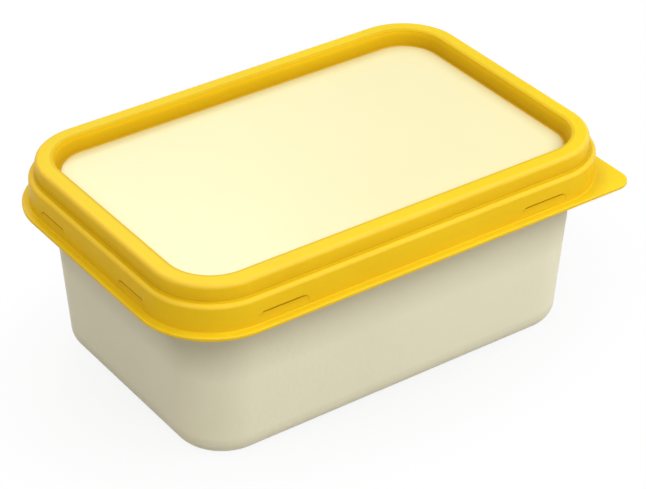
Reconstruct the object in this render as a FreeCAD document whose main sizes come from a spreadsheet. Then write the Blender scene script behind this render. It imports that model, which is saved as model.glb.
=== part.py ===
"""Butter tub: a tapered plastic tub, its press-on lid with a pull tab, and the panel in the lid.

Frame: origin at the middle of the standing ring, +X along the length towards the pull tab's end,
-Y towards the long side that the tab's corner belongs to, +Z up. Lengths are in millimetres and
angles in degrees.
"""
import FreeCAD, Part
import Sketcher
import math
import os
import re

SIZES = (
    # the lid in plan, over its flange
    ("lid_length", 150.0),
    ("lid_width", 101.5),
    ("lid_corner", 22.6),
    ("tab_corner", 5.3),
    # heights: the flange's underside above the ground, and the lid's steps above that underside
    ("flange_level", 46.2),
    ("flange_thickness", 1.1),
    ("skirt_height", 9.4),
    ("bead_height", 14.6),
    ("panel_depth", 4.5),
    # the lid's section, from the flange's edge inwards
    ("flange_reach", 2.2),
    ("shoulder_width", 2.05),
    ("bead_width", 5.2),
    ("recess_slope", 1.3),
    ("lid_wall", 1.0),
    # roundings of the lid
    ("crest_outer_round", 1.3),
    ("crest_inner_round", 0.8),
    ("recess_foot_round", 0.6),
    ("shoulder_round", 0.8),
    ("shoulder_crease", 0.5),
    ("flange_crease", 0.6),
    ("flange_edge_round", 0.3),
    # windows over the snap hooks, two in each side of the skirt
    ("side_window_length", 16.3),
    ("end_window_length", 13.8),
    ("window_margin", 0.8),
    ("window_sill", 2.0),
    ("window_height", 2.7),
    ("window_depth", 0.9),
    ("window_round", 0.8),
    # the panel that lies in the lid's recess
    ("panel_thickness", 0.3),
    ("panel_gap", 0.05),
    # the tub
    ("draft", 4.2),
    ("end_ease", 1.55),
    ("corner_ease", 1.6),
    ("foot_round", 4.5),
    ("ring_width", 3.0),
    ("foot_recess", 1.2),
    ("foot_recess_round", 0.5),
    # clearances between the tub and the lid
    ("rim_gap", 0.2),
    ("seat_gap", 0.1),
)

doc = FreeCAD.newDocument("ButterTub")
sheet = doc.addObject("Spreadsheet::Sheet", "Sizes")
for row, (alias, number) in enumerate(SIZES, start=1):
    sheet.set(f"A{row}", alias)
    sheet.set(f"B{row}", str(number))
    sheet.setAlias(f"B{row}", alias)
doc.recompute()

ALIASES = re.compile(r"\b(" + "|".join(alias for alias, number in SIZES) + r")\b")
TOLERANCE = 0.01


def bound(formula):
    """The formula as an expression that reads the sheet's cells."""
    return ALIASES.sub(r"Sizes.\1", formula)


def value(formula):
    """The formula's number, for the first drawing of a sketch."""
    result = sheet.evalExpression(bound(formula))
    return float(getattr(result, "Value", result))


# heights above the ground
SHOULDER = "(flange_level + skirt_height)"
CREST = "(flange_level + bead_height)"
PLATE = "(flange_level + bead_height - panel_depth - panel_thickness)"
RIM = f"({CREST} - lid_wall - seat_gap)"
SEAT = f"({PLATE} - lid_wall - seat_gap)"
LIP_TOP = f"({SHOULDER} - lid_wall - seat_gap)"
WINDOW_TOP = "(window_sill + window_height)"
LIP_LOW = f"(flange_level + {WINDOW_TOP} + lid_wall + seat_gap)"

# steps of the lid's section, as distances inwards from the skirt's outer face
BEAD_OUT = "shoulder_width"
BEAD_IN = "(shoulder_width + bead_width)"
RECESS_FOOT = f"({BEAD_IN} + recess_slope)"
LEAN = "(recess_slope / (panel_depth + panel_thickness))"
CHANNEL_IN = f"({BEAD_IN} - lid_wall + {LEAN} * lid_wall)"
CHANNEL_FOOT = f"({RECESS_FOOT} - lid_wall + {LEAN} * lid_wall)"
RIM_OUT = f"({BEAD_OUT} + lid_wall + rim_gap)"


def plan(inset="0"):
    """Half length, half width and corner radius of the outline at an inset from the skirt's face."""
    return (
        f"(lid_length / 2 - flange_reach - {inset})",
        f"(lid_width / 2 - flange_reach - {inset})",
        f"(lid_corner - flange_reach - {inset})",
    )


def new_body(label):
    body = doc.addObject("PartDesign::Body", label)
    body.Label = label
    return body


def origin_plane(body, role):
    return next(item for item in body.Origin.OriginFeatures if item.Role == role)


def new_sketch(body, name, role="XY_Plane", **moves):
    """A sketch on one of the body's own origin planes, moved along the plane's x, y and z."""
    sketch = body.newObject("Sketcher::SketchObject", name)
    sketch.AttachmentSupport = [(origin_plane(body, role), "")]
    sketch.MapMode = "FlatFace"
    for direction, distance in moves.items():
        sketch.setExpression(f".AttachmentOffset.Base.{direction}", bound(distance))
    return sketch


def constrain(sketch, formula, kind, *where):
    """Adds a sized constraint and ties it to the sheet."""
    index = sketch.addConstraint(Sketcher.Constraint(kind, *where, value(formula)))
    sketch.setExpression(f"Constraints[{index}]", bound(formula))


def rounded_rectangle(sketch, half_length, half_width, corner, tab_corner=None):
    """A rounded rectangle about the origin; tab_corner is the radius of its +X -Y corner."""
    radii = [corner, corner, corner, tab_corner or corner]
    length = value(half_length)
    width = value(half_width)
    quarter = math.pi / 2
    vector = FreeCAD.Vector
    arcs = []
    for number, (side, way) in enumerate(((1, 1), (-1, 1), (-1, -1), (1, -1))):
        radius = value(radii[number])
        centre = vector(side * (length - radius), way * (width - radius), 0)
        circle = Part.Circle(centre, vector(0, 0, 1), radius)
        start = number * quarter
        arcs.append(sketch.addGeometry(Part.ArcOfCircle(circle, start, start + quarter)))
    sides = []
    for number, arc in enumerate(arcs):
        following = arcs[(number + 1) % 4]
        begin = sketch.Geometry[arc].EndPoint
        end = sketch.Geometry[following].StartPoint
        line = sketch.addGeometry(Part.LineSegment(begin, end))
        sketch.addConstraint(Sketcher.Constraint("Tangent", arc, 2, line, 1))
        sketch.addConstraint(Sketcher.Constraint("Tangent", line, 2, following, 1))
        sides.append(line)
    top, left, bottom, right = sides
    for line in (top, bottom):
        sketch.addConstraint(Sketcher.Constraint("Horizontal", line))
    for line in (left, right):
        sketch.addConstraint(Sketcher.Constraint("Vertical", line))
    origin = (-1, 1)
    constrain(sketch, half_width, "DistanceY", *origin, top, 1)
    constrain(sketch, half_width, "DistanceY", bottom, 1, *origin)
    constrain(sketch, half_length, "DistanceX", *origin, right, 1)
    constrain(sketch, half_length, "DistanceX", left, 1, *origin)
    for arc, radius in zip(arcs, radii):
        constrain(sketch, radius, "Radius", arc)


def outline(sketch, corners):
    """A closed outline of straight lines through corners given as pairs of formulas."""
    points = [FreeCAD.Vector(value(across), value(up), 0) for across, up in corners]
    lines = []
    for begin, end in zip(points, points[1:] + points[:1]):
        lines.append(sketch.addGeometry(Part.LineSegment(begin, end)))
    for line, following in zip(lines, lines[1:] + lines[:1]):
        sketch.addConstraint(Sketcher.Constraint("Coincident", line, 2, following, 1))
    for line, (across, up) in zip(lines, corners):
        constrain(sketch, across, "DistanceX", -1, 1, line, 1)
        constrain(sketch, up, "DistanceY", -1, 1, line, 1)


def settle():
    """Rebuilds the document and stops at anything that failed."""
    doc.recompute()
    for item in doc.Objects:
        if {"Invalid", "Error"} & set(item.State):
            raise RuntimeError(f"{item.Name} failed: {item.State}")


def inset_of(point):
    """How far a point lies inside the skirt's outer face, seen from above."""
    half_length, half_width, corner = (value(formula) for formula in plan())
    across = abs(point.x) - (half_length - corner)
    along = abs(point.y) - (half_width - corner)
    if across > 0 and along > 0:
        return corner - (across**2 + along**2) ** 0.5
    return corner - max(across, along)


def edges_of(feature, level, chosen=lambda inset: True):
    """Names of the feature's edges at a height whose insets are all chosen."""
    names = []
    for number, edge in enumerate(feature.Shape.Edges, start=1):
        middle = edge.valueAt((edge.FirstParameter + edge.LastParameter) / 2)
        points = [middle] + [vertex.Point for vertex in edge.Vertexes]
        flat = all(abs(point.z - value(level)) < TOLERANCE for point in points)
        if flat and all(chosen(inset_of(point)) for point in points):
            names.append(f"Edge{number}")
    return names


def at(inset):
    """Chooses what lies at one inset."""
    return lambda found: abs(found - value(inset)) < TOLERANCE


def outside_skirt(found):
    return found < -TOLERANCE


def fillet(body, name, base, radius, edges):
    """Rounds the named edges of the base feature."""
    if not edges:
        raise RuntimeError(f"{name} has no edge to round")
    rounding = body.newObject("PartDesign::Fillet", name)
    rounding.Base = (base, edges)
    rounding.setExpression("Radius", bound(radius))
    settle()
    return rounding


def pad(body, name, sketch, length):
    feature = body.newObject("PartDesign::Pad", name)
    feature.Profile = sketch
    feature.setExpression("Length", bound(length))
    settle()
    return feature


def pocket(body, name, sketch, depth, upwards=False):
    """Cuts the sketch's outline out of the body, and stops if nothing was cut."""
    before = body.Shape.Volume
    feature = body.newObject("PartDesign::Pocket", name)
    feature.Profile = sketch
    feature.Reversed = upwards
    feature.setExpression("Length", bound(depth))
    settle()
    if body.Shape.Volume > before - TOLERANCE:
        raise RuntimeError(f"{name} cuts nothing")
    return feature


def taper(body, name, base, angle):
    """Leans the base's upright faces outwards, from the ground up, and checks that it grew."""
    before = body.Shape.Volume
    faces = []
    for number, face in enumerate(base.Shape.Faces, start=1):
        u_low, u_high, v_low, v_high = face.ParameterRange
        if abs(face.normalAt(u_low, v_low).z) < TOLERANCE:
            faces.append(f"Face{number}")
    leaning = body.newObject("PartDesign::Draft", name)
    leaning.Base = (base, faces)
    leaning.NeutralPlane = (origin_plane(body, "XY_Plane"), [""])
    leaning.setExpression("Angle", bound(angle))
    leaning.Reversed = True
    settle()
    if body.Shape.Volume < before + TOLERANCE:
        raise RuntimeError(f"{name} leans the wrong way")
    return leaning


def make_tub():
    """The tub with what it holds: tapered walls, a rim in the lid's bead, a lip and a foot."""
    body = new_body("tub")
    channel_length, width, channel_corner = plan(RIM_OUT)
    length = f"({channel_length} - end_ease)"
    rim_corner = f"({channel_corner} + corner_ease)"
    foot_plan = new_sketch(body, "foot_plan")
    foot = [f"({half} - {RIM} * tan(draft))" for half in (length, width, rim_corner)]
    rounded_rectangle(foot_plan, *foot)
    block = pad(body, "block", foot_plan, RIM)
    taper(body, "walls", block, "draft")

    lip_plan = new_sketch(body, "lip_plan", z=LIP_LOW)
    rounded_rectangle(lip_plan, *plan("(lid_wall + rim_gap)"))
    pad(body, "lip", lip_plan, f"{LIP_TOP} - {LIP_LOW}")

    seat_top = new_sketch(body, "seat_top", z=RIM)
    rounded_rectangle(seat_top, *plan(f"({CHANNEL_IN} - rim_gap)"))
    seat_floor = new_sketch(body, "seat_floor", z=SEAT)
    rounded_rectangle(seat_floor, *plan(f"({CHANNEL_FOOT} - rim_gap)"))
    seat = body.newObject("PartDesign::SubtractiveLoft", "seat")
    seat.Profile = seat_top
    seat.Sections = [seat_floor]
    seat.Ruled = True
    settle()

    fillet(body, "foot_rounding", seat, "foot_round", edges_of(seat, "0"))
    ring = "(foot_round + ring_width)"
    recess_plan = new_sketch(body, "recess_plan")
    rounded_rectangle(recess_plan, *(f"({half} - {ring})" for half in foot))
    recess = pocket(body, "foot_recess", recess_plan, "foot_recess", upwards=True)
    fillet(body, "recess_rounding", recess, "foot_recess_round", edges_of(recess, "foot_recess"))
    return body


def make_lid():
    """The lid: a stepped rim swept round its outline, a plate, a flange with the tab, windows."""
    body = new_body("lid")
    spine = new_sketch(body, "rim_path", z="flange_level")
    rounded_rectangle(spine, *plan())
    section = new_sketch(body, "rim_section", role="XZ_Plane")
    half_length = plan()[0]
    steps = (
        ("0", "flange_level"),
        ("0", SHOULDER),
        (BEAD_OUT, SHOULDER),
        (BEAD_OUT, CREST),
        (BEAD_IN, CREST),
        (RECESS_FOOT, PLATE),
        (RECESS_FOOT, f"{PLATE} - lid_wall"),
        (CHANNEL_FOOT, f"{PLATE} - lid_wall"),
        (CHANNEL_IN, f"{CREST} - lid_wall"),
        (f"{BEAD_OUT} + lid_wall", f"{CREST} - lid_wall"),
        (f"{BEAD_OUT} + lid_wall", f"{SHOULDER} - lid_wall"),
        ("lid_wall", f"{SHOULDER} - lid_wall"),
        ("lid_wall", "flange_level"),
    )
    outline(section, [(f"{half_length} - ({inset})", height) for inset, height in steps])
    rim = body.newObject("PartDesign::AdditivePipe", "rim")
    rim.Profile = section
    rim.Spine = spine
    settle()

    plate_plan = new_sketch(body, "plate_plan", z=f"{PLATE} - lid_wall")
    rounded_rectangle(plate_plan, *plan(RECESS_FOOT))
    pad(body, "plate", plate_plan, "lid_wall")

    flange_plan = new_sketch(body, "flange_plan", z="flange_level")
    rounded_rectangle(flange_plan, "lid_length / 2", "lid_width / 2", "lid_corner", "tab_corner")
    rounded_rectangle(flange_plan, *plan("lid_wall"))
    shell = pad(body, "flange", flange_plan, "flange_thickness")

    flange_top = "(flange_level + flange_thickness)"
    rim_edges = edges_of(shell, flange_top, outside_skirt)
    rim_edges += edges_of(shell, "flange_level", outside_skirt)
    shell = fillet(body, "flange_rounding", shell, "flange_edge_round", rim_edges)
    for name, radius, level, inset in (
        ("flange_fillet", "flange_crease", flange_top, "0"),
        ("shoulder_rounding", "shoulder_round", SHOULDER, "0"),
        ("shoulder_fillet", "shoulder_crease", SHOULDER, BEAD_OUT),
        ("crest_outer_rounding", "crest_outer_round", CREST, BEAD_OUT),
        ("crest_inner_rounding", "crest_inner_round", CREST, BEAD_IN),
        ("recess_fillet", "recess_foot_round", PLATE, RECESS_FOOT),
    ):
        shell = fillet(body, name, shell, radius, edges_of(shell, level, at(inset)))

    straight = "/ 2 - lid_corner - window_margin"
    half_length, half_width, corner = plan()
    windows = make_window(
        body,
        "side",
        length="side_window_length",
        place=f"(lid_length {straight} - side_window_length / 2)",
        face=("XZ_Plane", "", half_width),
        across=("YZ_Plane", "-", half_width),
    )
    windows += make_window(
        body,
        "end",
        length="end_window_length",
        place=f"(lid_width {straight} - end_window_length / 2)",
        face=("YZ_Plane", "-", half_length),
        across=("XZ_Plane", "", half_length),
    )
    pattern = body.newObject("PartDesign::MultiTransform", "window_pattern")
    pattern.Originals = windows
    mirrors = []
    for role in ("YZ_Plane", "XZ_Plane"):
        mirror = doc.addObject("PartDesign::Mirrored", f"mirror_{role}")
        mirror.MirrorPlane = (origin_plane(body, role), [""])
        mirrors.append(mirror)
    pattern.Transformations = mirrors
    body.Tip = pattern
    settle()
    return body


def make_window(body, side, length, place, face, across):
    """A window in the skirt and the snap hook behind it.

    The window is cut from the face's plane. The hook, drawn on the plane across it, fills the
    window's lower part with a slope and stands out inside, one wall thick throughout.
    """
    face_role, face_sign, face_distance = face
    sketch = new_sketch(
        body,
        f"{side}_window_plan",
        role=face_role,
        x=f"{face_sign}{place}",
        y="flange_level + window_sill + window_height / 2",
        z=face_distance,
    )
    rounded_rectangle(sketch, f"{length} / 2", "window_height / 2", "window_round")
    window = pocket(body, f"{side}_window", sketch, "window_depth")

    role, sign, distance = across
    section = new_sketch(body, f"{side}_hook_section", role=role, z=f"{place} - {length} / 2")
    low = "flange_level + window_sill"
    top = f"flange_level + {WINDOW_TOP}"
    corners = (
        ("0", low),
        ("window_depth", top),
        ("window_depth", f"{top} + lid_wall"),
        ("window_depth + lid_wall", f"{top} + lid_wall"),
        ("window_depth + lid_wall", top),
        ("lid_wall", low),
    )
    outline(section, [(f"{sign}({distance} - ({inset}))", height) for inset, height in corners])
    hook = pad(body, f"{side}_hook", section, length)
    return [window, hook]


def make_panel():
    """The pale panel that lies on the lid's plate, clear of the rounding at the recess's foot."""
    body = new_body("lid_panel")
    sketch = new_sketch(body, "panel_plan", z=PLATE)
    rounded_rectangle(sketch, *plan(f"({RECESS_FOOT} + recess_foot_round + panel_gap)"))
    pad(body, "panel", sketch, "panel_thickness")
    return body


bodies = [make_tub(), make_lid(), make_panel()]
settle()
for body in bodies:
    if body.Shape.isNull() or not body.Shape.isValid() or len(body.Shape.Solids) != 1:
        raise RuntimeError(f"{body.Label} is not one valid solid")

os.makedirs("parts", exist_ok=True)
for body in bodies:
    body.Shape.exportStep(f"parts/{body.Label}.step")
    print(body.Label, round(body.Shape.Volume), "mm3", body.Shape.BoundBox)
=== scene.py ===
import math
from typing import NamedTuple

import bmesh
import bpy
from mathutils import Matrix, Vector


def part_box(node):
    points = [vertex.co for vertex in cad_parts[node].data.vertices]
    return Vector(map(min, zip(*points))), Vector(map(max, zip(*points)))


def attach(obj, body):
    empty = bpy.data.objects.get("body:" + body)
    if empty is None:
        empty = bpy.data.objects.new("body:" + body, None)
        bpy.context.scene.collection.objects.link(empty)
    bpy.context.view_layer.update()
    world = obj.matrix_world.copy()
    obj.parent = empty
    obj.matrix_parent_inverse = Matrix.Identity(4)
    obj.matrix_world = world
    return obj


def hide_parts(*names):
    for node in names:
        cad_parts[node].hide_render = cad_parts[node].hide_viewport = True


bl_info = {
    "name": "Butter Tub",
    "version": (1, 0, 0),
    "blender": (4, 5, 0),
    "location": "3D View > Sidebar > Butter Tub",
    "description": "Builds a plastic butter tub, its press-on lid and the panel in the lid",
    "category": "Add Mesh",
}

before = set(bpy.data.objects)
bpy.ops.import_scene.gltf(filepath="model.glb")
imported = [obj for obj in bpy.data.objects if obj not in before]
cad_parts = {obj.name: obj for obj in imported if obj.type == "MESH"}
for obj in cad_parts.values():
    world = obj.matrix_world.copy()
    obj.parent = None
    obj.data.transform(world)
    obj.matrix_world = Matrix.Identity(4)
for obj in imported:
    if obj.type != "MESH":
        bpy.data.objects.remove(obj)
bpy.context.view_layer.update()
LID_LOW, LID_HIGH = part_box("lid")
TUB_LOW, TUB_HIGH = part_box("tub")
FILM_LOW, FILM_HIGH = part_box("lid_panel")

MM = 0.001
CORNER_STEPS = 60  # steps round a corner of an outline
SIDE_CUTS = 14  # points added along each straight side of it
ROUNDING_STEPS = 8  # steps round a rounded corner of a section
HOLD = 0.15 * MM  # from a rounding to the point that keeps the face beside it flat
CAP_INSET = 2 * MM  # from a section's last corner to the flat cap that closes it
END_LIMIT = 0.75  # an edge whose end marks average more than this is on a section's end
WELD = 0.004 * MM  # points nearer than this are one point
CREASE_ANGLE = math.radians(28)  # an edge that bends more than this stays sharp
UPWARD_POWER = 4  # the higher, the flatter a face must lie to count as facing up, for the painted top light and the coat
WINDOW_LEAN = 3  # how far a window's ends lean in, for each unit of depth
WINDOW_SHADE = 0.8 * MM  # depth at which the painted shade in a window is at its deepest
EDGE_SLACK = 0.05 * MM  # how far past a window's edges that painted shade may start
RELIEF = 2 * MM  # height of a material's relief at strength 1
PAPER = 0.55  # the floor's grey, which its shadow darkens
SHADE_DEPTH = 0.12  # how much of the floor's own shade shows beside the tub
SHADE_START = 0.9  # where that starts to fade, in half lengths and half widths of the tub
SHADE_RUN = 0.7  # how far on from there the floor is plain white
FULL_FRAME = 36  # width of the camera's sensor, in millimetres
AIM = Vector((-15.247 * MM, -25.818 * MM, LID_LOW.z))  # what the camera looks at
WHITE = (1, 1, 1, 1)


def length(name, description, metres):
    """A length that the panel shows, in metres."""
    return bpy.props.FloatProperty(
        name=name,
        description=description,
        default=metres,
        min=0,
        precision=5,
        unit="LENGTH",
    )


def angle(name, description, degrees):
    """An angle that the panel shows."""
    return bpy.props.FloatProperty(
        name=name,
        description=description,
        default=math.radians(degrees),
        unit="ROTATION",
    )


def colour(name, description, *rgb):
    """A linear colour that the panel shows."""
    return bpy.props.FloatVectorProperty(
        name=name,
        description=description,
        default=rgb,
        min=0,
        max=1,
        size=3,
        subtype="COLOR",
    )


def amount(name, description, default, top=1.0):
    """A plain number that the panel shows."""
    return bpy.props.FloatProperty(
        name=name, description=description, default=default, min=0, soft_max=top
    )


class LidSizes(bpy.types.PropertyGroup):
    """Sizes of the lid; widths of the rim's steps run inwards from the skirt's outer face."""

    length: length("Length", "Length over the flange", LID_HIGH.x - LID_LOW.x)
    width: length("Width", "Width over the flange", LID_HIGH.y - LID_LOW.y)
    corner: length("Corner", "Radius of the flange's corners", 22.6 * MM)
    tab_corner: length("Tab corner", "Radius of the pull tab's tip", 5.3 * MM)
    flange_level: length("Flange level", "Height of its underside", LID_LOW.z)
    crest_level: length("Crest level", "Height of the bead's crest", LID_HIGH.z)
    shoulder_level: length("Shoulder level", "Height of the skirt's top", 55.6 * MM)
    plate_level: length("Plate level", "Height of the recess's floor", FILM_LOW.z)
    flange_thickness: length("Flange thickness", "Thickness of the flange", 1.1 * MM)
    flange_reach: length("Flange reach", "How far the flange stands out", 2.2 * MM)
    shoulder_width: length("Shoulder width", "Step between skirt and bead", 2.05 * MM)
    bead_width: length("Bead width", "Width of the raised bead", 5.2 * MM)
    recess_slope: length("Recess slope", "How far the recess's wall leans", 1.3 * MM)
    wall: length("Wall", "Thickness of the lid's wall", 1.0 * MM)
    crest_outer: length("Crest outer", "Rounding of the bead's outside", 1.3 * MM)
    crest_inner: length("Crest inner", "Rounding of the bead's inside", 0.8 * MM)
    recess_foot: length("Recess foot", "Rounding at the recess's floor", 0.6 * MM)
    shoulder_round: length("Shoulder round", "Rounding of the shoulder", 1.1 * MM)
    shoulder_crease: length("Shoulder crease", "Hollow rounding on it", 0.5 * MM)
    flange_crease: length("Flange crease", "Rounding on the flange", 0.6 * MM)
    flange_edge: length("Flange edge", "Rounding of its edge", 0.3 * MM)
    side_window: length("Side window", "Length of a window in a side", 16.3 * MM)
    end_window: length("End window", "Length of a window in an end", 13.8 * MM)
    window_margin: length("Window margin", "From the corner's start", 0.8 * MM)
    window_sill: length("Window sill", "Height above the underside", 2.0 * MM)
    window_height: length("Window height", "Height of a window", 2.7 * MM)
    window_depth: length("Window depth", "Depth at a window's top", 0.9 * MM)
    window_slit: length("Window slit", "Height of the slit at its top", 0.6 * MM)


class TubSizes(bpy.types.PropertyGroup):
    """Sizes of the tub."""

    rim_level: length("Rim level", "Height of the rim", TUB_HIGH.z)
    rim_length: length("Rim length", "Length at the rim", 136.0 * MM)
    rim_width: length("Rim width", "Width at the rim", 90.6 * MM)
    rim_corner: length("Rim corner", "Radius of the rim's corners", 18.75 * MM)
    draft: angle("Draft", "Lean of the walls", 4.2)
    foot_round: length("Foot round", "Rounding at the foot", 4.5 * MM)
    ring_width: length("Ring width", "Width of the standing ring", 3.0 * MM)
    foot_recess: length("Foot recess", "Depth under the floor", 1.2 * MM)
    recess_round: length("Recess round", "Rounding of that recess", 0.5 * MM)
    lip_length: length("Lip length", "Length over the lip", TUB_HIGH.x - TUB_LOW.x)
    lip_width: length("Lip width", "Width over the lip", TUB_HIGH.y - TUB_LOW.y)
    lip_corner: length("Lip corner", "Radius of the lip's corners", 19.2 * MM)
    lip_low: length("Lip underside", "Height of its underside", 52.0 * MM)
    lip_high: length("Lip top", "Height of its top", 54.5 * MM)
    seat_level: length("Seat level", "Height of the lid's seat", 54.9 * MM)
    seat_length: length("Seat length", "Length at the rim's inside", 132.96 * MM)
    seat_width: length("Seat width", "Width at the rim's inside", 84.46 * MM)
    seat_corner: length("Seat corner", "Radius of the seat", 14.08 * MM)
    seat_lean: length("Seat lean", "How far its wall leans", 1.3 * MM)


class FilmSizes(bpy.types.PropertyGroup):
    """Sizes of the pale panel in the lid's recess."""

    length: length("Length", "Length of the panel", FILM_HIGH.x - FILM_LOW.x)
    width: length("Width", "Width of the panel", FILM_HIGH.y - FILM_LOW.y)
    corner: length("Corner", "Radius of its corners", 11.2 * MM)
    low: length("Underside", "Height of its underside", FILM_LOW.z)
    high: length("Top", "Height of its top", FILM_HIGH.z)
    edge: length("Edge", "Rounding of its edge", 0.12 * MM)
    # how far the painted shade along the panel's edge reaches in
    shaded: length("Shaded", "How far the edge's deeper tone reaches in", 4.5 * MM)


class Finishes(bpy.types.PropertyGroup):
    """Colours and surfaces."""

    tub: colour("Tub", "Cream plastic", 0.91, 0.87, 0.645)
    # painted shade: the cream's tone for creases, the foot and under the lid's flange
    tub_painted_shade: colour("Tub hollows", "The same in hollows", 0.74, 0.70, 0.51)
    # painted light: the cream's tone where it faces up and the light falls strongest
    tub_top_painted_light: colour("Tub faded", "The same where it faces up", 0.93, 0.89, 0.67)
    lid: colour("Lid", "Yellow plastic", 0.97, 0.625, 0.016)
    # painted shade: the yellow's tone for creases, recesses and windows
    lid_painted_shade: colour("Lid hollows", "The same in hollows", 0.62, 0.365, 0.006)
    # painted light: the yellow's tone where it faces up and the light falls strongest
    lid_top_painted_light: colour("Lid faded", "The same where it faces up", 0.82, 0.60, 0.012)
    film: colour("Panel", "Pale yellow panel", 0.80, 0.752, 0.43)
    # painted shade along the panel's edge
    film_painted_shade: colour("Panel edge", "The same along its edge", 0.72, 0.63, 0.32)
    tub_roughness: amount("Tub roughness", "Satin of the tub", 0.40)
    lid_roughness: amount("Lid roughness", "Satin of the lid", 0.30)
    film_roughness: amount("Panel roughness", "Satin of the panel", 0.29)


class StageSizes(bpy.types.PropertyGroup):
    """Camera, lamps and floor."""

    azimuth: angle("Azimuth", "Turn of the camera about the tub", -35.215)
    elevation: angle("Elevation", "Height of the camera", 33.173)
    roll: angle("Roll", "Lean of the camera", 0.159)
    distance: length("Distance", "From the camera to its target", 0.660)
    lens: amount("Lens", "Focal length in millimetres", 135.30, 300)
    right: amount("Right", "Power of the softbox at the front right", 2.7, 100)
    front: amount("Front", "Power of the softbox at the front", 4.8, 100)
    left: amount("Left", "Power of the softbox at the left", 5.0, 100)
    rear: amount("Rear", "Power of the softbox above the back", 4.0, 100)
    sky: amount("Sky", "Strength of the studio's own light", 0.22, 2)
    floor_size: length("Floor", "Side of the floor", 6.0)


class Wire:
    """One output of a node. Arithmetic on it adds Math nodes to its tree."""

    def __init__(self, nodes, socket):
        self.nodes = nodes
        self.socket = socket

    def also(self, output):
        """Another output of the same node."""
        return Wire(self.nodes, self.socket.node.outputs[output])

    def maths(self, operation, *others):
        """A Math node on this output and others."""
        return self.nodes.maths(operation, self, *others)

    def within(self, low, high):
        """This output, held between two values."""
        return self.maths("MAXIMUM", low).maths("MINIMUM", high)

    def __add__(self, other):
        return self.nodes.maths("ADD", self, other)

    def __sub__(self, other):
        return self.nodes.maths("SUBTRACT", self, other)

    def __rsub__(self, other):
        return self.nodes.maths("SUBTRACT", other, self)

    def __mul__(self, other):
        return self.nodes.maths("MULTIPLY", self, other)

    def __truediv__(self, other):
        return self.nodes.maths("DIVIDE", self, other)

    def __rtruediv__(self, other):
        return self.nodes.maths("DIVIDE", other, self)

    __radd__ = __add__
    __rmul__ = __mul__


class Nodes:
    """A node tree and the one way nodes are added to it."""

    def __init__(self, tree):
        self.tree = tree

    def add(self, kind, settings=None, entries=None, output=0):
        """Adds a node: its settings first, then the values or links of its sockets."""
        made = self.tree.nodes.new(kind)
        for name, setting in (settings or {}).items():
            setattr(made, name, setting)
        for key, given in (entries or {}).items():
            for one in given if isinstance(given, list) else [given]:
                if isinstance(one, Wire):
                    self.tree.links.new(one.socket, made.inputs[key])
                else:
                    made.inputs[key].default_value = one
        return Wire(self, made.outputs[output]) if made.outputs else None

    def maths(self, operation, *values):
        """A Math node."""
        entries = dict(enumerate(values))
        return self.add("ShaderNodeMath", {"operation": operation}, entries)

    def blend(self, factor, first, second):
        """Mixes two colours."""
        entries = {0: factor, 6: first, 7: second}
        return self.add("ShaderNodeMix", {"data_type": "RGBA"}, entries, 2)

    def vector(self, x=0, y=0, z=0):
        """A vector of three numbers."""
        return self.add("ShaderNodeCombineXYZ", None, {"X": x, "Y": y, "Z": z})

    def parts(self, vector):
        """The three numbers of a vector."""
        split = self.add("ShaderNodeSeparateXYZ", None, {"Vector": vector})
        return split, split.also("Y"), split.also("Z")

    def above(self, first, second):
        """True where the first number is the larger."""
        settings = {"data_type": "FLOAT", "operation": "GREATER_THAN"}
        return self.add("FunctionNodeCompare", settings, {"A": first, "B": second})

    def attribute(self, name):
        """A value stored on the mesh, for a geometry node tree."""
        return self.add("GeometryNodeInputNamedAttribute", None, {"Name": name})

    def mark(self, name):
        """A value stored on the mesh, for a material."""
        return self.add("ShaderNodeAttribute", {"attribute_name": name}, None, "Fac")


FLOAT = "NodeSocketFloat"
OBJECT = "NodeSocketObject"
MATERIAL = "NodeSocketMaterial"
SWITCH = "NodeSocketBool"
MESH = "NodeSocketGeometry"
OUTLINE = ("Length", "Width", "Corner")


class Group(Nodes):
    """A geometry node tree with named inputs, which ends in one mesh."""

    def __init__(self, name, inputs):
        super().__init__(bpy.data.node_groups.new(name, "GeometryNodeTree"))
        for label, kind in inputs:
            self.tree.interface.new_socket(label, in_out="INPUT", socket_type=kind)
        self.tree.interface.new_socket("Mesh", in_out="OUTPUT", socket_type=MESH)
        self.entry = self.tree.nodes.new("NodeGroupInput")

    def given(self, *labels):
        """The group's own inputs, by name."""
        found = [Wire(self, self.entry.outputs[label]) for label in labels]
        return found if len(found) > 1 else found[0]

    def place(self, group, entries):
        """Puts another group into this one."""
        return self.add("GeometryNodeGroup", {"node_tree": group.tree}, entries)

    def moved(self, mesh, offset):
        """A mesh with its points moved."""
        entries = {"Geometry": mesh, "Offset": offset}
        return self.add("GeometryNodeSetPosition", None, entries)

    def shifted(self, mesh, level):
        """A mesh lifted to a level."""
        entries = {"Geometry": mesh, "Translation": self.vector(z=level)}
        return self.add("GeometryNodeTransform", None, entries)

    def stored(self, mesh, name, value):
        """A mesh with a value stored on its points."""
        entries = {"Geometry": mesh, "Name": name, "Value": value}
        return self.add("GeometryNodeStoreNamedAttribute", None, entries)

    def end(self, mesh):
        """Gives the mesh out, and the group back."""
        self.add("NodeGroupOutput", None, {"Mesh": mesh})
        return self


def profile_of(nodes, section, ring):
    """A section object's points joined in order, as a curve that can be swept."""
    shape = nodes.add("GeometryNodeObjectInfo", None, {"Object": section}, "Geometry")
    points = nodes.add("GeometryNodeMeshToPoints", None, {"Mesh": shape})
    entries = {"Points": points, "Weight": nodes.add("GeometryNodeInputIndex")}
    profile = nodes.add("GeometryNodePointsToCurves", None, entries)
    entries = {"Geometry": profile, "Cyclic": ring}
    return nodes.add("GeometryNodeSetSplineCyclic", None, entries)


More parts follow.
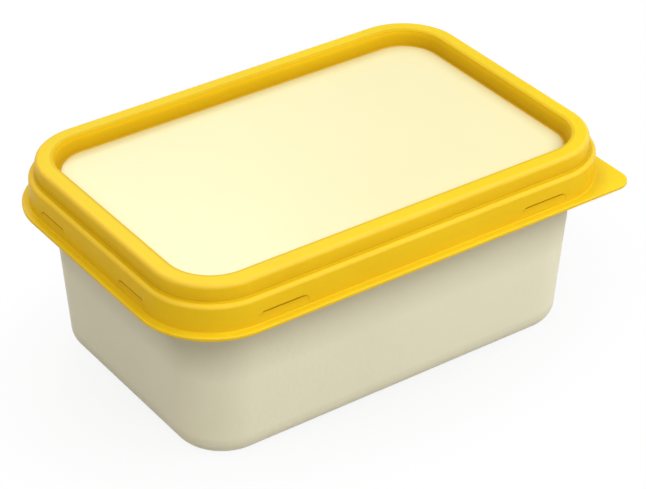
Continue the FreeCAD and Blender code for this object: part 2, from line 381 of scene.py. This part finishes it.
def swept_solid():
    """A group that sweeps a section round a rounded rectangle and closes its ends flat."""
    inputs = [(label, FLOAT) for label in OUTLINE]
    nodes = Group("Swept Solid", inputs + [("Section", OBJECT), ("Ring", SWITCH)])
    long_side, short_side, corner = nodes.given(*OUTLINE)
    section, ring = nodes.given("Section", "Ring")
    path = nodes.add(
        "GeometryNodeCurvePrimitiveQuadrilateral",
        {"mode": "RECTANGLE"},
        {"Width": long_side, "Height": short_side},
    )
    path = nodes.add(
        "GeometryNodeFilletCurve",
        {"mode": "POLY"},
        {"Curve": path, "Count": CORNER_STEPS, "Radius": corner},
    )
    place_in_corner = nodes.add("GeometryNodeInputIndex").maths("MODULO", CORNER_STEPS + 1)
    starts_side = place_in_corner.maths("GREATER_THAN", CORNER_STEPS - 0.5)
    entries = {"Curve": path, "Cuts": starts_side * SIDE_CUTS}
    path = nodes.add("GeometryNodeSubdivideCurve", None, entries)
    path = nodes.add("GeometryNodeSetCurveNormal", {"mode": "Z_UP"}, {"Curve": path})
    entries = {"Curve": path, "Profile Curve": profile_of(nodes, section, ring)}
    sides = nodes.add("GeometryNodeCurveToMesh", None, entries)
    faces = [sides]
    for way in (-1, 1):
        edge = nodes.above(nodes.attribute("end") * way, END_LIMIT)
        entries = {"Mesh": sides, "Selection": edge}
        loop = nodes.add("GeometryNodeMeshToCurve", None, entries)
        box = nodes.add("GeometryNodeBoundBox", None, {0: loop, "Use Radius": False}, "Min")
        cap = nodes.add("GeometryNodeFillCurve", {"mode": "NGONS"}, {"Curve": loop})
        cap = nodes.shifted(cap, nodes.parts(box)[2])
        if way > 0:
            cap = nodes.add("GeometryNodeFlipFaces", None, {"Mesh": cap})
        faces.append(cap)
    joined = nodes.add("GeometryNodeJoinGeometry", None, {0: faces[::-1]})
    entries = {"Geometry": joined, "Distance": WELD}
    welded = nodes.add("GeometryNodeMergeByDistance", None, entries)
    return nodes.end(nodes.add("GeometryNodeFlipFaces", None, {"Mesh": welded}))


def carry_wear_and_painted_light(nodes, mesh, swept):
    """Carries the swept shape's handling marks with their painted highlights, and its painted
    shade, over to the mesh cut from it.

    It also marks what faces up, for the painted top light and the coat.
    """
    here = nodes.add("GeometryNodeInputPosition")
    for name in ("wear", "hollow"):
        entries = {0: swept, "Value": nodes.attribute(name), "Sample Position": here}
        nearest = nodes.add("GeometryNodeSampleNearestSurface", None, entries)
        mesh = nodes.stored(mesh, name, nearest)
    facing = nodes.parts(nodes.add("GeometryNodeInputNormal"))[2].maths("MAXIMUM", 0)
    return nodes.stored(mesh, "upward", facing.maths("POWER", UPWARD_POWER))


def smoothed(nodes, mesh, material):
    """Shades a mesh smooth except at its creases, and gives it its material."""
    mesh = nodes.add("GeometryNodeSetShadeSmooth", None, {0: mesh})
    crease = nodes.above(nodes.add("GeometryNodeInputMeshEdgeAngle"), CREASE_ANGLE)
    mesh = nodes.add(
        "GeometryNodeSetShadeSmooth",
        {"domain": "EDGE"},
        {0: mesh, "Selection": crease, "Shade Smooth": False},
    )
    mesh = nodes.add("GeometryNodeRealizeInstances", None, {0: mesh})
    entries = {"Geometry": mesh, "Material": material}
    return nodes.add("GeometryNodeSetMaterial", None, entries)


def boolean(nodes, operation, first, second):
    """Joins the second mesh to the first, or cuts it out of it."""
    settings = {"operation": operation, "solver": "EXACT"}
    entries = {1: [first, second]} if operation == "UNION" else {0: first, 1: second}
    return nodes.add("GeometryNodeMeshBoolean", settings, entries)


class Corner(NamedTuple):
    """A corner of a section.

    Inset runs inwards from the path. Reach says how much of the pull tab's growth the corner
    takes. Its last number, above 0, is how much handling smooths it, and with that how strong a
    painted highlight it gets; below 0 it is how much painted shade it gets in a crease.
    """

    inset: float
    height: float
    rounding: float = 0
    reach: float = 0
    wear: float = 0


def section_object(name, corners, closed=False):
    """The outline of a section as points in order, its corners rounded off.

    Two points beside each rounding hold the faces there flat. A painted shade starts at half its
    strength before a rounding and goes on at full strength after it; a painted highlight swells
    and fades again across its rounding.
    """
    count = len(corners)
    rows = []
    for number, (inset, height, rounding, reach, wear) in enumerate(corners):
        here = Vector((inset, height))
        inner = closed or 0 < number < count - 1
        if not inner or rounding == 0:
            rows.append((here, reach, min(wear, 0.0)))
            continue
        before = Vector(corners[number - 1][:2]) - here
        after = Vector(corners[(number + 1) % count][:2]) - here
        opening = before.angle(after)
        run = rounding / math.tan(opening / 2)
        turn = math.pi - opening
        start = here + before.normalized() * run
        middle = (before.normalized() + after.normalized()).normalized()
        centre = here + middle * (rounding / math.sin(opening / 2))
        way = 1 if before.x * after.y - before.y * after.x < 0 else -1
        rows.append((start + before.normalized() * HOLD, reach, min(wear, 0.0) * 0.5))
        for step in range(ROUNDING_STEPS + 1):
            share = step / ROUNDING_STEPS
            spoke = start - centre
            spoke.rotate(Matrix.Rotation(way * turn * share, 2))
            strength = math.sin(math.pi * share) if wear > 0 else 1.0
            rows.append((centre + spoke, reach, wear * strength))
        end = here + after.normalized() * run
        rows.append((end + after.normalized() * HOLD, reach, min(wear, 0.0)))

    mesh = bpy.data.meshes.new(name)
    mesh.from_pydata([(-p.x, -p.y, 0) for p, reach, wear in rows], [], [])
    ends = [0.0] * len(rows)
    if not closed:
        ends[0], ends[-1] = -1.0, 1.0
    # positive marks go to handling with a painted highlight, negative ones to a painted shade
    # mark
    for label, values in (
        ("reach", [row[1] for row in rows]),
        ("wear", [max(row[2], 0.0) for row in rows]),
        ("hollow", [max(-row[2], 0.0) for row in rows]),
        ("end", ends),
    ):
        mesh.attributes.new(label, "FLOAT", "POINT").data.foreach_set("value", values)
    return linked(name, mesh)


def linked(name, data):
    """A new object in the scene."""
    made = bpy.data.objects.new(name, data)
    bpy.context.scene.collection.objects.link(made)
    return made


def finished_piece(name, group, values, node):
    """Runs a tree and keeps its result as a plain mesh, which rides on the frame."""
    made = linked(name, bpy.data.meshes.new(name))
    modifier = made.modifiers.new(group.tree.name, "NODES")
    modifier.node_group = group.tree
    sockets = {
        item.name: item.identifier
        for item in group.tree.interface.items_tree
        if item.in_out == "INPUT"
    }
    for label, given in values.items():
        modifier[sockets[label]] = given
    evaluated = made.evaluated_get(bpy.context.evaluated_depsgraph_get())
    mesh = bpy.data.meshes.new_from_object(evaluated)
    made.modifiers.clear()
    empty = made.data
    made.data = mesh
    mesh.name = name
    bpy.data.meshes.remove(empty)
    check = bmesh.new()
    check.from_mesh(mesh)
    volume = check.calc_volume(signed=True)
    open_edges = sum(not edge.is_manifold for edge in check.edges)
    check.free()
    if open_edges or volume <= 0:
        raise RuntimeError(f"{name}: {open_edges} open edges, volume {volume}")
    print(name, len(mesh.loop_triangles), "triangles", round(volume * 1e9), "mm3")
    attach(made, "root")
    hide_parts(node)


def surface(name):
    """A new node material, with the object's own coordinates."""
    material = bpy.data.materials.new(name)
    material.use_nodes = True
    material.node_tree.nodes.clear()
    nodes = Nodes(material.node_tree)
    return material, nodes, nodes.add("ShaderNodeTexCoord", None, None, "Object")


def opaque(rgb):
    """A colour with its alpha."""
    return (*rgb, 1)


def noise(nodes, place, scale, detail, roughness=0.5):
    """Noise about 0, scaled in features to the metre."""
    entries = {"Vector": place, "Scale": scale, "Detail": detail, "Roughness": roughness}
    return nodes.add("ShaderNodeTexNoise", None, entries) - 0.5


def relief(nodes, height):
    """The normal of a surface with a fine relief."""
    return nodes.add("ShaderNodeBump", None, {"Height": height, "Distance": RELIEF})


def moulded_plastic(name, tones, roughness, sheen, painted_edge_highlight):
    """Satin polypropylene: faint flow marks, orange peel, fine grain, and edges that handling
    makes smoother, with a painted highlight on them.

    Its tones are the walls', a painted shade for creases and recesses, and a painted top
    light for what faces up.
    """
    material, nodes, place = surface(name)
    flow = noise(nodes, place, 26, 3)
    peel = noise(nodes, place, 620, 1)
    grain = noise(nodes, place, 3800, 2)
    stretched = nodes.add("ShaderNodeMapping", None, {"Vector": place, "Scale": (1, 1, 9)})
    handling = noise(nodes, stretched, 90, 4, 0.62)
    wear, hollow, upward = [nodes.mark(label) for label in ("wear", "hollow", "upward")]
    walls, deep, top_painted_light = [opaque(rgb) for rgb in tones]
    # painted highlight: rounded edges lightened towards white
    painted_highlight_tone = opaque([part + (1 - part) * painted_edge_highlight for part in walls[:3]])
    # painted top light on what faces up
    tone = nodes.blend(upward, walls, top_painted_light)
    # painted shade in creases, recesses and windows
    tone = nodes.blend(hollow, tone, deep)
    # painted highlight on rounded edges
    tone = nodes.blend(wear, tone, painted_highlight_tone)
    tone = nodes.blend((0.06 - flow * 0.5).maths("MAXIMUM", 0), tone, deep)
    shader = nodes.add(
        "ShaderNodeBsdfPrincipled",
        None,
        {
            "Base Color": tone,
            "Roughness": roughness + flow * 0.10 + handling * 0.12 - wear * 0.05,
            "Normal": relief(nodes, peel * 0.035 + grain * 0.014 + handling * 0.003),
            "IOR": 1.49,
            "Specular IOR Level": sheen,
            "Coat Weight": upward * 0.15,
            "Coat Roughness": 0.3,
            "Coat IOR": 1.45,
        },
    )
    nodes.add("ShaderNodeOutputMaterial", None, {"Surface": shader})
    return material


def printed_film(name, rgb, edge, roughness):
    """A thin printed panel: slightly uneven tone, fine fibre grain, a shallow ripple and a
    painted shade along its edge.
    """
    material, nodes, place = surface(name)
    cloud = noise(nodes, place, 18, 3)
    ripple = noise(nodes, place, 55, 1)
    grain = noise(nodes, place, 2600, 3, 0.6)
    deep = opaque([part * 0.965 for part in rgb])
    tone = nodes.blend((cloud * 1.5 + 0.6).maths("MINIMUM", 1), deep, opaque(rgb))
    # painted shade along the panel's edge
    tone = nodes.blend(nodes.mark("hollow"), tone, opaque(edge))
    shader = nodes.add(
        "ShaderNodeBsdfPrincipled",
        None,
        {
            "Base Color": tone,
            "Roughness": roughness + cloud * 0.06 + grain * 0.02,
            "Normal": relief(nodes, ripple * 0.05 + grain * 0.0015),
            "IOR": 1.5,
            "Specular IOR Level": 0.5,
        },
    )
    nodes.add("ShaderNodeOutputMaterial", None, {"Surface": shader})
    return material


def tub_group(solid):
    """The tub: its body, the lip under its rim and the seat for the lid."""
    parts = ("Rim", "Lip", "Seat")
    inputs = [(f"{part} {size}", FLOAT) for part in parts for size in OUTLINE]
    inputs += [(f"{part} Section", OBJECT) for part in parts]
    nodes = Group("Tub", inputs + [("Material", MATERIAL)])
    made = []
    for part in parts:
        entries = {size: nodes.given(f"{part} {size}") for size in (*OUTLINE, "Section")}
        entries["Ring"] = part == "Lip"
        made.append(nodes.place(solid, entries))
    rim, lip, seat = made
    whole = boolean(nodes, "DIFFERENCE", boolean(nodes, "UNION", rim, lip), seat)
    whole = carry_wear_and_painted_light(nodes, whole, rim)
    return nodes.end(smoothed(nodes, whole, nodes.given("Material")))


def pull_tab(nodes, mesh):
    """Draws the flange out to its square corner, where the pull tab is."""
    long_side, short_side, corner = nodes.given(*OUTLINE)
    tab, reach_out = nodes.given("Tab Corner", "Flange Reach")
    radius = corner + reach_out
    x, y, z = nodes.parts(nodes.add("GeometryNodeInputPosition"))
    across = (x - (long_side / 2 - corner)).maths("MAXIMUM", 0)
    along = (0 - y - (short_side / 2 - corner)).maths("MAXIMUM", 0)
    far = (across * across + along * along).maths("SQRT")
    cosine = across / far
    sine = along / far
    longer = cosine.maths("MAXIMUM", sine)
    shorter = cosine.maths("MINIMUM", sine)
    heart = radius - tab
    square = radius / longer
    spread = heart * (longer - shorter)
    rest = (tab * tab - spread * spread).maths("MAXIMUM", 0)
    arc = heart * (longer + shorter) + rest.maths("SQRT")
    in_arc = (shorter / longer).maths("GREATER_THAN", heart / radius)
    outline = square + in_arc * (arc - square)
    in_corner = (across * along).maths("GREATER_THAN", 0)
    push = (outline - radius) * in_corner * nodes.attribute("reach")
    return nodes.moved(mesh, nodes.vector(cosine * push, 0 - sine * push))


def drawn_along(nodes, label, long_side):
    """A section drawn out along a window."""
    profile = profile_of(nodes, nodes.given(label), True)
    start, end = [nodes.vector(long_side / share) for share in (-2, 2)]
    entries = {"Start": start, "End": end}
    line = nodes.add("GeometryNodeCurvePrimitiveLine", {"mode": "POINTS"}, entries)
    line = nodes.add("GeometryNodeSetCurveNormal", {"mode": "Z_UP"}, {"Curve": line})
    entries = {"Curve": line, "Profile Curve": profile, "Fill Caps": True}
    return nodes.add("GeometryNodeCurveToMesh", None, entries)


def window_cutter(nodes, long_side):
    """The block that cuts a window: a ramp up from the sill, a slit at its top, leaning ends."""
    block = drawn_along(nodes, "Window Section", long_side)
    x, y, z = nodes.parts(nodes.add("GeometryNodeInputPosition"))
    shift = x.maths("SIGN") * y.maths("MAXIMUM", 0) * -WINDOW_LEAN
    return nodes.moved(block, nodes.vector(shift))


def window_painted_shade(nodes, mesh):
    """Paints shade into the windows: what lies under the skirt's face, between the windows'
    edges, gets darker the deeper it lies.
    """
    long_side, short_side, corner = nodes.given(*OUTLINE)
    level, height = nodes.given("Window Level", "Window Height")
    x, y, z = nodes.parts(nodes.add("GeometryNodeInputPosition"))
    over_x = x.maths("ABSOLUTE") - (long_side / 2 - corner)
    over_y = y.maths("ABSOLUTE") - (short_side / 2 - corner)
    out_x, out_y = over_x.maths("MAXIMUM", 0), over_y.maths("MAXIMUM", 0)
    far = (out_x * out_x + out_y * out_y).maths("SQRT")
    depth = corner - far - over_x.maths("MAXIMUM", over_y).maths("MINIMUM", 0)
    off_level = (z - level).maths("ABSOLUTE")
    near = off_level.maths("LESS_THAN", height / 2 + EDGE_SLACK)
    dark = (depth / WINDOW_SHADE).within(0, 1) * near
    return nodes.stored(mesh, "hollow", dark.maths("MAXIMUM", nodes.attribute("hollow")))


def around_skirt(nodes, unit, spread_x, spread_y, level, ends):
    """Sets a unit made for the front face at four places of the sides, or of the ends."""
    entries = {"Size X": spread_x, "Size Y": spread_y, "Vertices X": 2, "Vertices Y": 2}
    corners = nodes.shifted(nodes.add("GeometryNodeMeshGrid", None, entries), level)
    x, y, z = nodes.parts(nodes.add("GeometryNodeInputPosition"))
    if ends:
        turn = x.maths("SIGN") * (math.pi / 2)
    else:
        turn = y.maths("GREATER_THAN", 0) * math.pi
    turn = nodes.add("FunctionNodeEulerToRotation", None, {"Euler": nodes.vector(z=turn)})
    entries = {"Points": corners, "Instance": unit, "Rotation": turn}
    placed = nodes.add("GeometryNodeInstanceOnPoints", None, entries)
    return nodes.add("GeometryNodeRealizeInstances", None, {0: placed})


def lid_group(solid):
    """The lid: the rim's section swept round, the pull tab, eight windows and their hooks."""
    sizes = (
        *OUTLINE,
        "Tab Corner",
        "Flange Reach",
        "Side Window",
        "End Window",
        "Window Margin",
        "Window Level",
        "Window Height",
    )
    inputs = [(label, FLOAT) for label in sizes]
    inputs += [(f"{part}Section", OBJECT) for part in ("", "Hook ", "Window ")]
    nodes = Group("Lid", inputs + [("Material", MATERIAL)])
    long_side, short_side, corner = nodes.given(*OUTLINE)
    margin, level = nodes.given("Window Margin", "Window Level")
    entries = {label: nodes.given(label) for label in (*OUTLINE, "Section")}
    swept = pull_tab(nodes, nodes.place(solid, entries))
    hooks = []
    cutters = []
    for ends, label in ((False, "Side Window"), (True, "End Window")):
        size = nodes.given(label)
        run = (short_side if ends else long_side) - corner * 2 - margin * 2 - size
        x, y = (long_side, run) if ends else (run, short_side)
        for found, unit in (
            (hooks, drawn_along(nodes, "Hook Section", size)),
            (cutters, window_cutter(nodes, size)),
        ):
            found.append(around_skirt(nodes, unit, x, y, level, ends))
    shell = swept
    for hook in hooks:
        shell = boolean(nodes, "UNION", shell, hook)
    for cutter in cutters:
        shell = boolean(nodes, "DIFFERENCE", shell, cutter)
    shell = window_painted_shade(nodes, carry_wear_and_painted_light(nodes, shell, swept))
    return nodes.end(smoothed(nodes, shell, nodes.given("Material")))


def film_group(solid):
    """The panel: a thin sheet with a softened edge."""
    inputs = [(label, FLOAT) for label in OUTLINE]
    nodes = Group("Panel", inputs + [("Section", OBJECT), ("Material", MATERIAL)])
    entries = {label: nodes.given(label) for label in (*OUTLINE, "Section")}
    sheet = nodes.place(solid, entries)
    return nodes.end(smoothed(nodes, sheet, nodes.given("Material")))


def solid_group():
    """The group that sweeps a section, made once for all pieces."""
    found = bpy.data.node_groups.get("Swept Solid")
    return Nodes(found) if found else swept_solid()


def remove(*helpers):
    """Deletes the section objects once their piece is made."""
    for helper in helpers:
        data = helper.data
        bpy.data.objects.remove(helper)
        bpy.data.meshes.remove(data)


class BUTTERTUB_OT_tub(bpy.types.Operator):
    """Builds the tub."""

    bl_idname = "butter_tub.tub"
    bl_label = "Tub"

    def execute(self, context):
        s = context.scene.butter_tub.tub
        finish = context.scene.butter_tub.finish
        slope = math.tan(s.draft)
        lean = s.rim_level * slope
        ring = lean + s.foot_round + s.ring_width
        # The tub's section paints a highlight on the standing ring's edge and paints shade at
        # the foot, at the rim and, darkening from lid_shade up to lid_shade_full, under the
        # lid's flange.
        ring_edge = 0.2 * MM
        foot_shade = s.foot_round * 1.4
        lid_shade = LID_LOW.z - 20 * MM
        lid_shade_full = LID_LOW.z - 8 * MM
        shades = ((foot_shade, 0), (lid_shade, 0), (lid_shade_full, -1))
        body = section_object(
            "tub section",
            (
                Corner(ring + CAP_INSET, s.foot_recess),
                Corner(ring, s.foot_recess, s.recess_round),
                Corner(ring, 0, ring_edge, wear=1),
                Corner(lean, 0, s.foot_round, wear=-0.5),
                *[Corner(lean - level * slope, level, wear=shade) for level, shade in shades],
                Corner(0, s.rim_level, wear=-1),
                Corner(2 * CAP_INSET, s.rim_level),
            ),
        )
        lip_depth = 6 * MM
        lip = section_object(
            "lip section",
            (
                Corner(0, s.lip_low),
                Corner(0, s.lip_high),
                Corner(lip_depth, s.lip_high),
                Corner(lip_depth, s.lip_low),
            ),
            closed=True,
        )
        seat_cap = s.seat_lean + 3 * MM
        overshoot = 0.25
        seat_top = s.rim_level + (s.rim_level - s.seat_level) * overshoot
        seat = section_object(
            "seat section",
            (
                Corner(seat_cap, s.seat_level),
                Corner(s.seat_lean, s.seat_level),
                Corner(-s.seat_lean * overshoot, seat_top),
                Corner(seat_cap, seat_top),
            ),
        )
        values = {
            "Rim Length": s.rim_length,
            "Rim Width": s.rim_width,
            "Rim Corner": s.rim_corner,
            "Rim Section": body,
            "Lip Length": s.lip_length,
            "Lip Width": s.lip_width,
            "Lip Corner": s.lip_corner,
            "Lip Section": lip,
            "Seat Length": s.seat_length,
            "Seat Width": s.seat_width,
            "Seat Corner": s.seat_corner,
            "Seat Section": seat,
            "Material": moulded_plastic(
                "cream polypropylene",
                (finish.tub, finish.tub_painted_shade, finish.tub_top_painted_light),
                finish.tub_roughness,
                sheen=0.10,
                painted_edge_highlight=0.15,
            ),
        }
        finished_piece("tub_shell", tub_group(solid_group()), values, "tub")
        remove(body, lip, seat)
        return {"FINISHED"}


class BUTTERTUB_OT_lid(bpy.types.Operator):
    """Builds the lid with its pull tab and windows."""

    bl_idname = "butter_tub.lid"
    bl_label = "Lid"

    def execute(self, context):
        s = context.scene.butter_tub.lid
        finish = context.scene.butter_tub.finish
        bead_in = s.shoulder_width + s.bead_width
        foot = bead_in + s.recess_slope
        lean = s.recess_slope / (s.crest_level - s.plate_level)
        channel_in = bead_in - s.wall + lean * s.wall
        channel_foot = foot - s.wall + lean * s.wall
        channel_out = s.shoulder_width + s.wall
        under_crest = s.crest_level - s.wall
        under_shoulder = s.shoulder_level - s.wall
        under_plate = s.plate_level - s.wall
        flange_top = s.flange_level + s.flange_thickness
        # The rim section paints shade into the recess's floor and wall, the bead's inner edge,
        # the shoulder's crease and the flange's crease, and paints a highlight on the bead's
        # outer rounding, the shoulder's rounding and the flange's edges. rise is where the
        # recess wall's painted shade lightens, edge_shade how far the inner edge's painted shade
        # runs onto the bead's top.
        rise = (s.crest_level - s.plate_level) * 0.6
        edge_shade = 1.2 * MM
        rim = section_object(
            "rim section",
            (
                Corner(foot + CAP_INSET, s.plate_level),
                Corner(foot, s.plate_level, s.recess_foot, wear=-1),
                Corner(foot - lean * rise, s.plate_level + rise, wear=-0.7),
                Corner(bead_in, s.crest_level, s.crest_inner, wear=-0.5),
                Corner(bead_in - edge_shade, s.crest_level),
                Corner(s.shoulder_width, s.crest_level, s.crest_outer, wear=1),
                Corner(s.shoulder_width, s.shoulder_level, s.shoulder_crease, wear=-0.6),
                Corner(0, s.shoulder_level, s.shoulder_round, wear=0.8),
                Corner(0, flange_top, s.flange_crease, wear=-0.2),
                Corner(-s.flange_reach, flange_top, s.flange_edge, reach=1, wear=0.8),
                Corner(-s.flange_reach, s.flange_level, s.flange_edge, reach=1, wear=0.5),
                Corner(s.wall, s.flange_level),
                Corner(s.wall, under_shoulder),
                Corner(channel_out, under_shoulder),
                Corner(channel_out, under_crest),
                Corner(channel_in, under_crest),
                Corner(channel_foot, under_plate),
                Corner(foot + CAP_INSET, under_plate),
            ),
        )
        half = s.window_height / 2
        hook = section_object(
            "hook section",
            (
                Corner(s.wall / 2, -half),
                Corner(s.wall, -half),
                Corner(s.window_depth + s.wall, half),
                Corner(s.window_depth + s.wall, half + s.wall),
                Corner(s.wall / 2, half + s.wall),
            ),
            closed=True,
        )
        slit = half - s.window_slit
        slit_lean = 0.1 * MM
        ramp_depth = s.window_depth * 0.25
        sill_depth = 0.02 * MM
        outside = -1 * MM
        window = section_object(
            "window section",
            (
                Corner(outside, -half),
                Corner(sill_depth, -half),
                Corner(ramp_depth, slit - slit_lean),
                Corner(s.window_depth, slit),
                Corner(s.window_depth, half),
                Corner(outside, half),
            ),
            closed=True,
        )
        values = {
            "Length": s.length - 2 * s.flange_reach,
            "Width": s.width - 2 * s.flange_reach,
            "Corner": s.corner - s.flange_reach,
            "Tab Corner": s.tab_corner,
            "Flange Reach": s.flange_reach,
            "Side Window": s.side_window,
            "End Window": s.end_window,
            "Window Margin": s.window_margin,
            "Window Level": s.flange_level + s.window_sill + half,
            "Window Height": s.window_height,
            "Section": rim,
            "Hook Section": hook,
            "Window Section": window,
            "Material": moulded_plastic(
                "yellow polypropylene",
                (finish.lid, finish.lid_painted_shade, finish.lid_top_painted_light),
                finish.lid_roughness,
                sheen=0.03,
                painted_edge_highlight=0.05,
            ),
        }
        finished_piece("lid_shell", lid_group(solid_group()), values, "lid")
        remove(rim, hook, window)
        return {"FINISHED"}


class BUTTERTUB_OT_film(bpy.types.Operator):
    """Builds the pale panel in the lid's recess."""

    bl_idname = "butter_tub.film"
    bl_label = "Panel"

    def execute(self, context):
        s = context.scene.butter_tub.film
        finish = context.scene.butter_tub.finish
        # the panel's section paints shade along its edge, fading over the shaded distance
        edge = section_object(
            "panel section",
            (
                Corner(s.shaded, s.low),
                Corner(0, s.low),
                Corner(0, s.high, s.edge, wear=-1),
                Corner(s.shaded * 0.3, s.high, wear=-0.4),
                Corner(s.shaded, s.high),
            ),
        )
        values = {
            "Length": s.length,
            "Width": s.width,
            "Corner": s.corner,
            "Section": edge,
            "Material": printed_film(
                "pale panel film", finish.film, finish.film_painted_shade, finish.film_roughness
            ),
        }
        finished_piece(
            "panel_film", film_group(solid_group()), values, "lid_panel"
        )
        remove(edge)
        return {"FINISHED"}


def softbox(name, power, bearing, rise, away=1.2, side=0.6, tint=(1, 1, 1)):
    """A square softbox turned to the lid. Its bearing and rise are in degrees."""
    data = bpy.data.lights.new(name, "AREA")
    data.shape = "SQUARE"
    data.size = side
    data.energy = power
    data.color = tint
    way = direction(math.radians(bearing), math.radians(rise))
    lamp = linked(name, data)
    lamp.location = Vector((0, 0, LID_LOW.z)) + way * away
    lamp.rotation_euler = way.to_track_quat("Z", "Y").to_euler()


def direction(bearing, rise):
    """The way out at a bearing from the front and a rise above the floor, in radians."""
    level = math.cos(rise)
    return Vector((math.sin(bearing) * level, -math.cos(bearing) * level, math.sin(rise)))


def seen_directly(nodes):
    """1 where the camera, a reflection or a clear piece looks at the backdrop itself."""
    path = nodes.add("ShaderNodeLightPath", None, None, "Is Camera Ray")
    looks = path.maths("MAXIMUM", path.also("Is Glossy Ray"))
    return looks.maths("MAXIMUM", path.also("Is Transmission Ray"))


class BUTTERTUB_OT_stage(bpy.types.Operator):
    """Sets up the floor, the studio light and the camera."""

    bl_idname = "butter_tub.stage"
    bl_label = "Stage"

    def execute(self, context):
        s = context.scene.butter_tub.stage
        scene = context.scene
        scene.view_settings.view_transform = "Standard"

        floor_mesh = bpy.data.meshes.new("floor")
        half = s.floor_size / 2
        square = [(-half, -half, 0), (half, -half, 0), (half, half, 0), (-half, half, 0)]
        floor_mesh.from_pydata(square, [], [(0, 1, 2, 3)])
        floor = linked("floor", floor_mesh)
        material, nodes, place = surface("studio floor")
        entries = {"Base Color": (PAPER, PAPER, PAPER, 1), "Roughness": 0.9}
        paper = nodes.add("ShaderNodeBsdfPrincipled", None, entries)
        white = nodes.add("ShaderNodeEmission", None, {"Color": WHITE, "Strength": 1})
        x, y, z = nodes.parts(place)
        along, across = x / TUB_HIGH.x, y / TUB_HIGH.y
        away = (along * along + across * across).maths("SQRT")
        fade = ((away - SHADE_START) / SHADE_RUN).within(0, 1)
        share = seen_directly(nodes) * ((1 - SHADE_DEPTH) + fade * SHADE_DEPTH)
        shown = nodes.add("ShaderNodeMixShader", None, {0: share, 1: paper, 2: white})
        nodes.add("ShaderNodeOutputMaterial", None, {"Surface": shown})
        floor_mesh.materials.append(material)

        world = bpy.data.worlds.new("studio")
        world.use_nodes = True
        world.node_tree.nodes.clear()
        nodes = Nodes(world.node_tree)
        glow, white = [
            nodes.add("ShaderNodeBackground", None, {"Color": WHITE, "Strength": strength})
            for strength in (s.sky, 1)
        ]
        entries = {0: seen_directly(nodes), 1: glow, 2: white}
        sky = nodes.add("ShaderNodeMixShader", None, entries)
        nodes.add("ShaderNodeOutputWorld", None, {"Surface": sky})
        scene.world = world

        softbox("right softbox", s.right, bearing=50, rise=45, away=0.8, side=0.45)
        softbox("front softbox", s.front, bearing=0, rise=45)
        softbox("left softbox", s.left, bearing=-85, rise=58, tint=(1, 0.925, 0.85))
        softbox("rear softbox", s.rear, bearing=160, rise=46, side=0.5)

        data = bpy.data.cameras.new("camera")
        data.lens = s.lens
        data.sensor_width = FULL_FRAME
        camera = linked("camera", data)
        back = direction(s.azimuth, s.elevation)
        camera.location = AIM + back * s.distance
        turn = back.to_track_quat("Z", "Y").to_matrix()
        camera.rotation_euler = (turn @ Matrix.Rotation(s.roll, 3, "Z")).to_euler()
        scene.camera = camera
        return {"FINISHED"}


class ButterTub(bpy.types.PropertyGroup):
    """Everything that a user can change."""

    tub: bpy.props.PointerProperty(name="Tub", type=TubSizes)
    lid: bpy.props.PointerProperty(name="Lid", type=LidSizes)
    film: bpy.props.PointerProperty(name="Panel", type=FilmSizes)
    finish: bpy.props.PointerProperty(name="Finish", type=Finishes)
    stage: bpy.props.PointerProperty(name="Stage", type=StageSizes)


class BUTTERTUB_PT_panel(bpy.types.Panel):
    """Lists the sizes, the colours and the buttons that build the pieces."""

    bl_idname = "BUTTERTUB_PT_panel"
    bl_label = "Butter Tub"
    bl_space_type = "VIEW_3D"
    bl_region_type = "UI"
    bl_category = "Butter Tub"

    def draw(self, context):
        settings = context.scene.butter_tub
        for label in ("tub", "lid", "film", "finish", "stage"):
            group = getattr(settings, label)
            box = self.layout.box()
            box.label(text=label.capitalize())
            for name in group.bl_rna.properties.keys():
                if name not in ("rna_type", "name"):
                    box.prop(group, name)
        for operator in OPERATORS:
            self.layout.operator(operator.bl_idname)


OPERATORS = (BUTTERTUB_OT_stage, BUTTERTUB_OT_tub, BUTTERTUB_OT_lid, BUTTERTUB_OT_film)
CLASSES = (
    TubSizes,
    LidSizes,
    FilmSizes,
    Finishes,
    StageSizes,
    ButterTub,
    *OPERATORS,
    BUTTERTUB_PT_panel,
)


def register():
    """Adds the classes and the settings to Blender."""
    for made in CLASSES:
        bpy.utils.register_class(made)
    bpy.types.Scene.butter_tub = bpy.props.PointerProperty(type=ButterTub)


def unregister():
    """Takes them away again."""
    del bpy.types.Scene.butter_tub
    for made in reversed(CLASSES):
        bpy.utils.unregister_class(made)


def main():
    """Builds everything: the stage, the tub, the lid and the panel."""
    register()
    bpy.ops.butter_tub.stage()
    bpy.ops.butter_tub.tub()
    bpy.ops.butter_tub.lid()
    bpy.ops.butter_tub.film()


if __name__ == "__main__":
    main()
